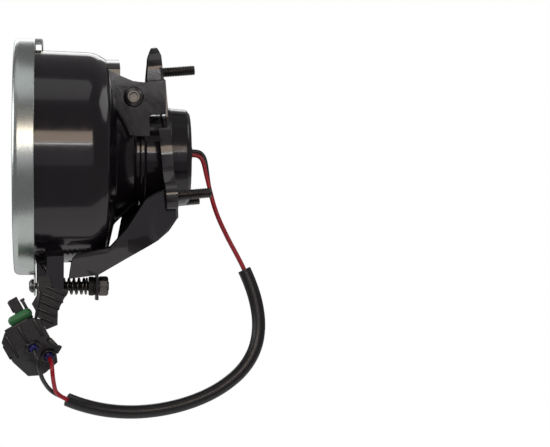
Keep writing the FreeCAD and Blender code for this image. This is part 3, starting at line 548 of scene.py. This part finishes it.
softened("adjuster_lug", 0.3, "bracket_paint")

# Fasteners ----------------------------------------------------------------------------------------


THREAD_TAPER = 0.9


def threaded(name, start, end, radius, body, finish, place, pitch=1.0, columns=36, depth=0.42):
    """A rod along +Y with a rolled thread, its ends tapered."""
    steps = 6
    rows = int((end - start) / pitch * steps)
    verts, faces = [], []
    for i in range(rows + 1):
        along = start + (end - start) * i / rows
        taper = min((along - start) / THREAD_TAPER, (end - along) / THREAD_TAPER, 1.0)
        for k in range(columns):
            phase = (along / pitch - k / columns) % 1.0
            groove = abs(2 * phase - 1)
            crest = min(max((groove - 0.12) / 0.7, 0.0), 1.0)
            size = min(radius - depth * crest, radius - depth * 1.15 * (1 - taper))
            turn = 2 * math.pi * k / columns
            verts.append((size * math.cos(turn) * MM, along * MM, size * math.sin(turn) * MM))
    for i in range(rows):
        for k in range(columns):
            a, b = i * columns + k, i * columns + (k + 1) % columns
            faces.append((a, b, b + columns, a + columns))
    faces.append(tuple(range(columns)))
    faces.append(tuple(range(rows * columns, (rows + 1) * columns)))
    return piece(name, verts, faces, body, finish, place, 40)


def apply_all(made):
    """Replaces the mesh by what its modifiers make of it."""
    graph = bpy.context.evaluated_depsgraph_get()
    mesh = bpy.data.meshes.new_from_object(made.evaluated_get(graph))
    made.modifiers.clear()
    made.data = mesh


def cross_recess(body_piece, finish, cutter_at, place, reach=2.2, width=0.9, depth=1.7):
    """Cuts a cross into a screw's head, which faces -Y in its frame."""
    cutters = []
    for across, up in ((reach, width / 2), (width / 2, reach)):
        bpy.ops.mesh.primitive_cube_add(size=2)
        cutter = bpy.context.object
        cutter.data.transform(Matrix.Diagonal((across * MM, depth * MM, up * MM, 1)))
        cutter.data.transform(place @ Matrix.Translation((0, cutter_at * MM, 0)))
        cutters.append(cutter)
    for cutter in cutters:
        cut = body_piece.modifiers.new("Recess", "BOOLEAN")
        cut.operation = "DIFFERENCE"
        cut.object = cutter
        cut.solver = "EXACT"
        apply_all(body_piece)
        bpy.data.objects.remove(cutter)
    body_piece.data.set_sharp_from_angle(angle=math.radians(35))
    body_piece.data.materials.clear()
    body_piece.data.materials.append(FINISH[finish])


def pan_head(name, front, back, radius, body, finish, place, segments=64):
    """A domed screw head with a flat rim, drilled by a cross."""
    made = turned(name, [
        (front, 0.0), (front, radius * 0.62, radius * 0.5), (front + (back - front) * 0.55, radius, 0.8),
        (back, radius, 0.15), (back, 0.0),
    ], body, finish, place, segments, 30)
    cross_recess(made, finish, front, place)
    return made


TAB_SCREW = LAMP @ Matrix.Translation(TAB_SCREW_IN_LAMP)
tab_head = pan_head("bezel_screw_head", 8.4, 11.3, 4.1, "lamp", "dark_plated_steel", TAB_SCREW)
tab_thread = threaded("bezel_screw_thread", 11.2, 19.0, 2.0, "lamp", "plated_steel", TAB_SCREW, 0.7, 28, 0.3)
stood_for("bezel_screw", tab_head, tab_thread)
softened("bezel_screw_nut", 0.3, "dark_plated_steel")

HEAD_FRONT = 13.4
head = pan_head("adjuster_screw_head", HEAD_FRONT, HEAD_FRONT + 3.8, 4.5, "screw", "dark_plated_steel", SCREW)
shank = threaded("adjuster_screw_thread", HEAD_FRONT + 3.7, 55.4, 3.0, "screw", "dark_plated_steel", SCREW)
stood_for("adjuster_screw", head, shank)
washer = turned("adjuster_washer_ring", [
    (17.3, 3.2, 0.1), (17.3, 5.6, 0.2), (18.3, 5.6, 0.2), (18.3, 3.2, 0.1),
], "screw_carrier", "dark_plated_steel", SCREW, 64)
stood_for("adjuster_washer", washer)
collar = turned("adjuster_collar_ring", [
    (43.4, 3.5, 0.2), (43.4, 5.6, 0.8), (46.2, 5.65, 0.3), (46.6, 5.3, 0.2), (47.6, 5.3, 0.2),
    (47.6, 3.5, 0.2),
], "bracket", "black_rubber", SCREW, 64)
stood_for("adjuster_collar", collar)


NUT_CHAMFER = 0.9


def hex_nut(name, start, thick, across_flats, bore, body, finish, place):
    """A nut along +Y whose corners are chamfered on both faces."""
    reach = across_flats / math.sqrt(3)
    flat = across_flats / 2
    verts, faces, sides = [], [], 72
    profile = [
        (0.0, bore + 0.35), (0.0, flat * 0.96), (NUT_CHAMFER, reach), (thick - NUT_CHAMFER, reach),
        (thick, flat * 0.96), (thick, bore + 0.35), (thick - 0.5, bore), (0.5, bore),
    ]
    for along, radius in profile:
        for k in range(sides):
            turn = 2 * math.pi * k / sides
            wedge = (turn + math.pi / 6) % (math.pi / 3) - math.pi / 6
            limit = flat / math.cos(wedge)
            size = min(radius, limit) if radius > bore + 1 else radius
            verts.append((size * math.cos(turn) * MM, (start + along) * MM, size * math.sin(turn) * MM))
    count = len(profile)
    for i in range(count):
        for k in range(sides):
            n = (k + 1) % sides
            j = (i + 1) % count
            faces.append((i * sides + k, j * sides + k, j * sides + n, i * sides + n))
    return piece(name, verts, faces, body, finish, place, 20)


lock_nut = hex_nut("adjuster_lock_nut", 49.0, 6.0, 10.0, 3.05, "bracket", "dark_plated_steel", SCREW)
stood_for("adjuster_nut", lock_nut)

STUD_CIRCLE = 50.8
studs = []
for number, turn in enumerate((90, 210, 330), start=1):
    x = STUD_CIRCLE * math.cos(math.radians(turn)) * MM
    z = STUD_CIRCLE * math.sin(math.radians(turn)) * MM
    at = Matrix.Translation((x, 0, z))
    studs.append(threaded(f"stud_{number}_thread", -1.4, 20.0, 3.0, "bracket", "dark_plated_steel", at))
    studs.append(turned(f"stud_{number}_head", [
        (-3.3, 0.0), (-3.3, 5.2, 0.4), (-1.5, 5.2, 0.2), (-1.5, 0.0),
    ], "bracket", "dark_plated_steel", at, 48))
stood_for("mounting_studs", *studs)

PIVOT_AT = LAMP @ PIVOT_IN_LAMP
for side, label in ((1, "right"), (-1, "left")):
    at = Matrix.Translation((0, PIVOT_AT.y, PIVOT_AT.z)) @ Matrix.Rotation(math.radians(-90 * side), 4, "Z")
    dome = turned(f"pivot_screw_{label}", [
        (23.0, 0.0), (23.0, 3.0, 0.5), (31.5, 3.0), (31.5, 6.0, 0.2), (33.0, 5.4, 1.6), (34.3, 3.4, 0.8),
        (34.3, 2.5, 0.15), (33.6, 2.3, 0.2), (33.6, 0.0),
    ], "bracket", "dark_plated_steel", at, 72, 30)
    stood_for("pivot_screws", dome)
    stood_for("pivot_nuts", hex_nut(
        f"pivot_nut_{label}", 23.2, 3.6, 10.0, 3.05, "bracket", "dark_plated_steel", at))

# The bracket --------------------------------------------------------------------------------------

softened("mounting_bracket", 0.45, "bracket_paint")

# The aiming spring --------------------------------------------------------------------------------

SPRING_FRONT, SPRING_BACK = 20.6, 43.4
SPRING_WIRE = 0.65
SPRING_MIDDLE = 4.45
OPEN_TURNS, CLOSED_TURNS = 6.5, 1.0
CLOSED_PITCH = 2 * SPRING_WIRE * 0.98
STEPS_PER_TURN = 40


def spring_path():
    """The middle of the wire: open turns between a closed one at each end."""
    total = OPEN_TURNS + 2 * CLOSED_TURNS
    closed = CLOSED_PITCH * CLOSED_TURNS
    low, high = SPRING_FRONT + SPRING_WIRE, SPRING_BACK - SPRING_WIRE
    out = []
    for i in range(int(total * STEPS_PER_TURN) + 1):
        turns = i / STEPS_PER_TURN
        if turns < CLOSED_TURNS:
            along = low + closed * turns / CLOSED_TURNS
        elif turns > total - CLOSED_TURNS:
            along = high - closed * (total - turns) / CLOSED_TURNS
        else:
            along = low + closed + (high - low - 2 * closed) * (turns - CLOSED_TURNS) / OPEN_TURNS
        turn = 2 * math.pi * turns
        out.append((SPRING_MIDDLE * math.cos(turn) * MM, along * MM, SPRING_MIDDLE * math.sin(turn) * MM))
    return out


spring = swept("aiming_spring", spring_path(), SPRING_WIRE * MM, "bracket", "dark_plated_steel", SCREW)
stood_for("adjuster_spring", spring)
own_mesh(spring)

# The rear cap and its grommet ---------------------------------------------------------------------

cap = turned("cap", [
    (89.5, 29.9, 0.3), (91.3, 29.9, 0.4), (91.5, 29.5, 0.3), (101.4, 28.7, 2.6), (103.4, 26.3, 1.0),
    (103.9, 9.0, 0.5), (104.0, 0.0), (102.4, 0.0), (101.8, 25.0), (99.6, 27.4, 1.0), (89.5, 27.9, 0.2),
], "lamp", "cap_plastic", segments=160, steps=6)
stood_for("rear_cap", cap)
grommet = turned("cable_grommet", [
    (103.6, 0.0), (103.6, 4.8, 0.2), (104.6, 4.8, 0.5), (105.35, 4.0, 0.5), (105.35, 0.0),
], "lamp", "black_rubber", LAMP @ Matrix.Translation((0, 0, 2.7 * MM)), 48)
stood_for("wire_grommet", grommet)

# The wiring ---------------------------------------------------------------------------------------

GROMMET_UP, WIRE_SIDE, WIRE_RISE = 2.7, 1.45, 1.3
WIRE_RADIUS, SLEEVE_RADIUS = 1.25, 4.0
WIRE_FROM_MIDDLE = 1.32
LOOM = [
    (0.3, 115.8, -18.5),
    (0.5, 119.6, -33.0),
    (0.8, 126.6, -48.2),
    (1.3, 133.6, -61.0),
    (2.0, 139.4, -73.4),
    (3.0, 143.6, -86.3),
    (4.0, 145.4, -100.6),
    (5.2, 143.0, -114.8),
    (6.8, 135.3, -127.1),
    (8.6, 123.2, -136.8),
    (10.4, 109.2, -143.8),
    (12.2, 92.0, -148.8),
    (14.2, 73.0, -151.0),
    (16.6, 54.4, -149.8),
    (19.6, 37.4, -145.4),
    (23.0, 24.6, -139.4),
]
RED_FIRST = [
    (WIRE_SIDE, 105.4, GROMMET_UP - WIRE_RISE),
    (WIRE_SIDE, 108.6, GROMMET_UP - WIRE_RISE),
    (WIRE_SIDE, 111.1, -0.6),
    (WIRE_SIDE, 112.4, -3.8),
    (WIRE_SIDE, 113.6, -9.6),
]
BLACK_FIRST = [
    (-WIRE_SIDE, 105.4, GROMMET_UP + WIRE_RISE),
    (-WIRE_SIDE, 108.9, GROMMET_UP + WIRE_RISE),
    (-WIRE_SIDE, 111.8, 2.4),
    (-WIRE_SIDE, 113.4, -0.8),
    (-WIRE_SIDE, 114.4, -6.4),
]
CONNECTOR_LEAN = Matrix.Rotation(CONNECTOR_TURN, 3, "X")
WIRE_OUT = CONNECTOR_LEAN @ Vector((1, 0, -1)).normalized()
RED_AT = CONNECTOR_IN_LAMP + CONNECTOR_LEAN @ Vector((-1.4, 5.7, -10.4))
BLACK_AT = CONNECTOR_IN_LAMP + CONNECTOR_LEAN @ Vector((7.3, 0.6, -1.7))
RED_LAST = [
    (29.6, 23.2, -132.6),
    (33.6, 22.4, -126.2),
    tuple(RED_AT + WIRE_OUT * 6.0),
    tuple(RED_AT - WIRE_OUT * 1.5),
]
BLACK_LAST = [
    (24.2, 21.0, -136.6),
    (29.6, 18.6, -133.2),
    (35.2, 16.4, -129.0),
    (39.6, 15.0, -123.2),
    tuple(BLACK_AT + WIRE_OUT * 7.0),
    tuple(BLACK_AT - WIRE_OUT * 1.5),
]


def beside(points, side):
    """The same points moved across by a distance."""
    return [(x + side, along, up) for x, along, up in points]


def in_row(points):
    """Points of the lamp's frame in mm, as points of the row frame in metres."""
    return [LAMP @ (Vector(p) * MM) for p in points]


def cord_line(name, route, radius, finish):
    """A smooth round cord through a route in the row frame."""
    curve = bpy.data.curves.new(name, "CURVE")
    curve.dimensions = "3D"
    curve.bevel_depth = radius
    curve.bevel_resolution = 6
    curve.resolution_u = 16
    curve.use_fill_caps = True
    spline = curve.splines.new("NURBS")
    spline.points.add(len(route) - 1)
    for control, point in zip(spline.points, route):
        control.co = (*point, 1)
    spline.order_u = 3
    spline.use_endpoint_u = True
    made = bpy.data.objects.new(name, curve)
    bpy.context.scene.collection.objects.link(made)
    curve.materials.append(FINISH[finish])
    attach(made, "lamp")
    return made


red_route = in_row(RED_FIRST + beside(LOOM, WIRE_FROM_MIDDLE) + RED_LAST)
black_route = in_row(BLACK_FIRST + beside(LOOM, -WIRE_FROM_MIDDLE) + BLACK_LAST)
sleeve_route = in_row(LOOM[3:])
sleeve_route[0] = (sleeve_route[0] + sleeve_route[1]) / 2
sleeve_route[-1] = (sleeve_route[-2] + sleeve_route[-1]) / 2
red_wire = cord_line("red_lead", red_route, WIRE_RADIUS * MM, "red_insulation")
black_wire = cord_line("black_lead", black_route, WIRE_RADIUS * MM, "black_insulation")
sleeve = cord_line("loom_sleeve", sleeve_route, SLEEVE_RADIUS * MM, "sleeve_plastic")
stood_for("red_wire", red_wire)
stood_for("black_wire", black_wire)
stood_for("wire_sleeve", sleeve)

# The connector ------------------------------------------------------------------------------------

connector = softened("connector_body", 0.9, name="connector_block")
mating_end = softened("connector_mating_end", 0.3)
lock_tower = softened("connector_lock", 0.35)
clip = softened("connector_clip", 0.6)

# The clip's near face is ribbed across, with a slot between two of the ribs.
CLIP_FACE = 30.7
RIBS = [
    (24.6, -79.4, 13.0), (22.6, -83.4, 13.0), (20.8, -87.4, 12.4), (19.2, -91.6, 12.4),
    (18.2, -95.6, 10.6),
]
clip_ribs = [
    block(f"clip_rib_{i}", (1.8, length, 1.7), (CLIP_FACE, along, up), LAMP, "connector_plastic", 0.5, -24)
    for i, (along, up, length) in enumerate(RIBS, start=1)
]
clip_ribs.append(block(
    "clip_side_rail", (2.2, 1.7, 19.0), (CLIP_FACE, 13.9, -88.5), LAMP, "connector_plastic", 0.5, -8))
clip_ribs = joined_mesh("clip_ribs", clip_ribs, "lamp", "connector_plastic")
stood_for("connector_clip", clip_ribs)
# The block's raised frame, the ears beside its wire face and the collars round its two seals.
details = [
    block("block_rib_front", (1.6, 1.8, 15.0), (10.2, -9.6, 4.0), CONNECTOR, "connector_plastic"),
    block("block_rib_middle", (1.6, 1.8, 11.0), (10.2, -1.0, 7.4), CONNECTOR, "connector_plastic"),
    block("block_rib_rear", (1.6, 1.8, 12.0), (10.2, 8.6, 6.4), CONNECTOR, "connector_plastic"),
    block("block_top_step", (17.0, 15.0, 2.4), (0.0, -1.5, 13.2), CONNECTOR, "connector_plastic", 0.7),
    block("block_front_hood", (15.0, 2.2, 9.0), (1.0, -13.2, 2.5), CONNECTOR, "connector_plastic", 0.7),
    block("block_ear", (8.0, 3.2, 8.0), (3.2, 11.4, -6.2), CONNECTOR, "connector_plastic", 0.8, 14),
    block("block_ear_tip", (5.0, 5.0, 2.4), (2.4, 12.4, -10.2), CONNECTOR, "connector_plastic", 0.7, 30),
]
seal = block("green_ring_seal", (11.6, 14.6, 5.8), (0.0, 2.4, 16.6), CONNECTOR, "green_rubber", 2.6)
mating_ribs = [
    block("lock_rib_1", (7.4, 1.2, 7.0), (0.0, 0.6, 24.0), CONNECTOR, "connector_plastic", 0.3),
    block("lock_latch", (4.4, 1.8, 6.0), (0.0, 8.0, 21.6), CONNECTOR, "connector_plastic", 0.4),
    block("lock_latch_tip", (4.4, 2.6, 1.6), (0.0, 8.2, 24.6), CONNECTOR, "connector_plastic", 0.4),
]
mating_ribs = joined_mesh("mating_ribs", mating_ribs, "lamp", "connector_plastic")
stood_for("connector_seal", seal)
stood_for("connector_lock", mating_ribs)
wire_seals = []
for label, at in (("red", RED_AT), ("black", BLACK_AT)):
    down = WIRE_OUT.to_track_quat("Y", "Z").to_matrix().to_4x4()
    place = LAMP @ Matrix.Translation(at * MM) @ down
    ribs = [(-1.4, 1.3), (-1.4, 2.35, 0.2)]
    for k in range(3):
        ribs += [(-0.2 + k, 2.35, 0.2), (0.2 + k, 2.05, 0.15), (0.4 + k, 2.05, 0.15), (0.6 + k, 2.35, 0.2)]
    ribs += [(3.0, 2.3, 0.4), (3.0, 1.3, 0.1)]
    wire_seals.append(turned(f"{label}_wire_seal_ribbed", ribs, "lamp", "blue_rubber", place, 40, steps=3))
    stood_for(f"{label}_wire_seal", wire_seals[-1])
    details.append(turned(f"{label}_wire_collar", [
        (-0.8, 3.3, 0.1), (-0.8, 4.6, 0.1), (1.2, 4.5, 0.5), (1.2, 3.3, 0.3),
    ], "lamp", "connector_plastic", place, 40, steps=3))
block_details = joined_mesh("block_details", details, "lamp", "connector_plastic")
stood_for("connector_body", block_details)

# The CAD nodes that show as they are --------------------------------------------------------------

for name, finish in {
    "lens_gasket": "black_rubber", "bulb_glass": "bulb_glass", "bulb_shield": "plated_steel",
    "bulb_shield_legs": "plated_steel", "bulb_base": "plated_steel", "bulb_clip": "plated_steel",
    "bulb_terminals": "brass", "bulb_leads": "black_insulation", "cap_seal": "black_rubber",
    "pivot_bushes": "black_rubber", "connector_terminals": "brass",
}.items():
    NODES[name].data.materials.clear()
    NODES[name].data.materials.append(FINISH[finish])

# The studio ---------------------------------------------------------------------------------------

FLOOR_AT = (-0.75, -0.03, -0.36)
FLOOR_GLOW, FLOOR_GLOW_ADDED_FOR_THE_EYE = 0.10, 0.65
bpy.ops.mesh.primitive_circle_add(vertices=96, radius=1.0, fill_type="NGON", location=FLOOR_AT)
floor = bpy.context.object
floor.name = "floor"
pale = bpy.data.materials.new("pale_floor")
pale.use_nodes = True
pale_shader = pale.node_tree.nodes["Principled BSDF"]
pale_shader.inputs["Base Color"].default_value = (0.9, 0.9, 0.9, 1)
pale_shader.inputs["Roughness"].default_value = 0.9
pale_shader.inputs["Emission Color"].default_value = (1, 1, 1, 1)
# The floor is white to the eye and dim in the gloss of the paint.
pale_tree = pale.node_tree
seen_floor = pale_tree.nodes.new("ShaderNodeLightPath")
glow = pale_tree.nodes.new("ShaderNodeMath")
glow.operation = "MULTIPLY_ADD"
glow.inputs[1].default_value = FLOOR_GLOW_ADDED_FOR_THE_EYE
glow.inputs[2].default_value = FLOOR_GLOW
pale_tree.links.new(seen_floor.outputs["Is Camera Ray"], glow.inputs[0])
pale_tree.links.new(glow.outputs["Value"], pale_shader.inputs["Emission Strength"])
floor.data.materials.append(pale)

world = bpy.data.worlds.new("studio")
bpy.context.scene.world = world
world.use_nodes = True
tree = world.node_tree
seen = node(tree, "ShaderNodeBackground", Color=(1, 1, 1, 1), Strength=1.0)
around = tree.nodes["Background"]
around.inputs["Color"].default_value = (0.75, 0.72, 0.74, 1)
around.inputs["Strength"].default_value = 0.22
path = tree.nodes.new("ShaderNodeLightPath")
choice = tree.nodes.new("ShaderNodeMixShader")
tree.links.new(path.outputs["Is Camera Ray"], choice.inputs[0])
tree.links.new(around.outputs["Background"], choice.inputs[1])
tree.links.new(seen.outputs["Background"], choice.inputs[2])
tree.links.new(choice.outputs["Shader"], tree.nodes["World Output"].inputs["Surface"])


def softbox(name, azimuth, elevation, distance, width, height, radiance, colour=(1, 1, 1)):
    """A rectangular light aimed at the lamp; azimuth 0 is in front of the lens and 90 on +X."""
    a, e = math.radians(azimuth), math.radians(elevation)
    away = Vector((math.sin(a) * math.cos(e), -math.cos(a) * math.cos(e), math.sin(e)))
    lamp = bpy.data.lights.new(name, "AREA")
    lamp.shape = "RECTANGLE"
    lamp.size, lamp.size_y = width, height
    lamp.energy = radiance * math.pi * width * height
    lamp.color = colour
    made = bpy.data.objects.new(name, lamp)
    made.location = Vector((0, -0.04, 0)) + away * distance
    made.rotation_mode = "QUATERNION"
    made.rotation_quaternion = away.to_track_quat("Z", "Y")
    bpy.context.scene.collection.objects.link(made)


softbox("key", 88, 17, 1.6, 1.3, 0.34, 3.4, (1.0, 0.80, 0.64))
softbox("key_edge", 88, 9.6, 1.6, 1.3, 0.04, 11.0)
softbox("side", 90, -4, 1.9, 1.6, 0.6, 0.22, (0.90, 0.86, 1.0))
softbox("top", 60, 74, 1.3, 1.1, 0.8, 0.5)
softbox("front", 5, 22, 1.7, 1.4, 1.1, 2.6)
softbox("rear", 178, 35, 1.6, 1.0, 0.6, 1.3)
softbox("far_side", 275, 30, 1.6, 1.2, 0.5, 1.8)

CAMERA_AT = (1.0374, -0.0707, -0.0695)
camera_data = bpy.data.cameras.new("camera")
camera_data.lens = 113.46
camera_data.sensor_width = 36.0
camera = bpy.data.objects.new("camera", camera_data)
camera_back = Vector((0.9918, -0.1256, -0.0233)).normalized()
camera_right = Vector((0.0338, 0.0825, 0.9960)).cross(camera_back).normalized()
camera_up = camera_back.cross(camera_right)
turned_camera = Matrix((camera_right, camera_up, camera_back)).transposed().to_4x4()
camera.matrix_world = Matrix.Translation(CAMERA_AT) @ turned_camera
bpy.context.scene.collection.objects.link(camera)
bpy.context.scene.camera = camera
bpy.context.scene.view_settings.view_transform = "Standard"
